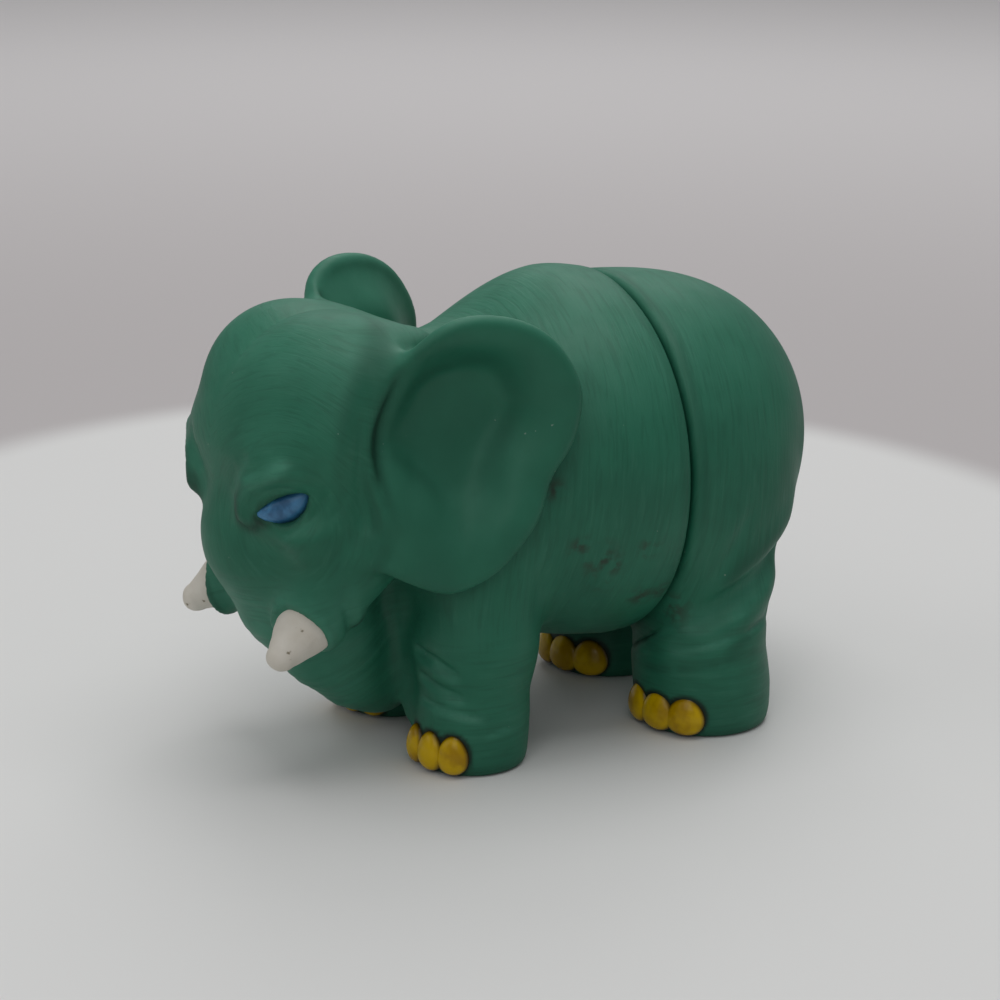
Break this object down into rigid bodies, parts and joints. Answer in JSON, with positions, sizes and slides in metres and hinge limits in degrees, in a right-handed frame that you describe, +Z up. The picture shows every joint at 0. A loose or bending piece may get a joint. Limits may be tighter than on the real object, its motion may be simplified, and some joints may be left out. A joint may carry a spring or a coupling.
{
  "type": "toy elephant",
  "caption": "Small standing toy elephant of soft green vinyl, in a front and a rear half that plug together at the waist, turn on each other and pull apart.",
  "frame": {"origin": "on the floor under the middle of the standing figure", "axes": "+X towards the head, +Y to the elephant's left, +Z up"},
  "size_m": [0.0793, 0.0443, 0.0546],
  "materials": {
    "green_vinyl": "soft vinyl, matt to satin",
    "tusk_paint": "chalky off-white paint",
    "eye_paint": "satin blue paint",
    "nail_paint": "glossy yellow paint",
    "hard_plastic": "cream moulded plastic"
  },
  "bodies": {
    "rear_half": {"rear_body": "green_vinyl", "rear_socket_plate": "hard_plastic", "toenail_rear_left_1": "nail_paint", "toenail_rear_left_2": "nail_paint", "toenail_rear_left_3": "nail_paint", "toenail_rear_right_1": "nail_paint", "toenail_rear_right_2": "nail_paint", "toenail_rear_right_3": "nail_paint"},
    "coupling": {"coupling_plug": "hard_plastic"},
    "front_half": {"front_body": "green_vinyl", "front_socket_plate": "hard_plastic", "tusk_left": "tusk_paint", "tusk_right": "tusk_paint", "eye_left": "eye_paint", "eye_right": "eye_paint", "toenail_front_left_1": "nail_paint", "toenail_front_left_2": "nail_paint", "toenail_front_left_3": "nail_paint", "toenail_front_right_1": "nail_paint", "toenail_front_right_2": "nail_paint", "toenail_front_right_3": "nail_paint"}
  },
  "joints": [
    {"name": "pull_apart", "type": "slide", "parent": "rear_half", "child": "coupling", "axis": [1, 0, 0], "range_m": [0, 0.03]},
    {"name": "waist_turn", "type": "hinge", "parent": "coupling", "child": "front_half", "pos_m": [-0.0116, 0, 0.0314], "axis": [1, 0, 0], "continuous": true}
  ]
}
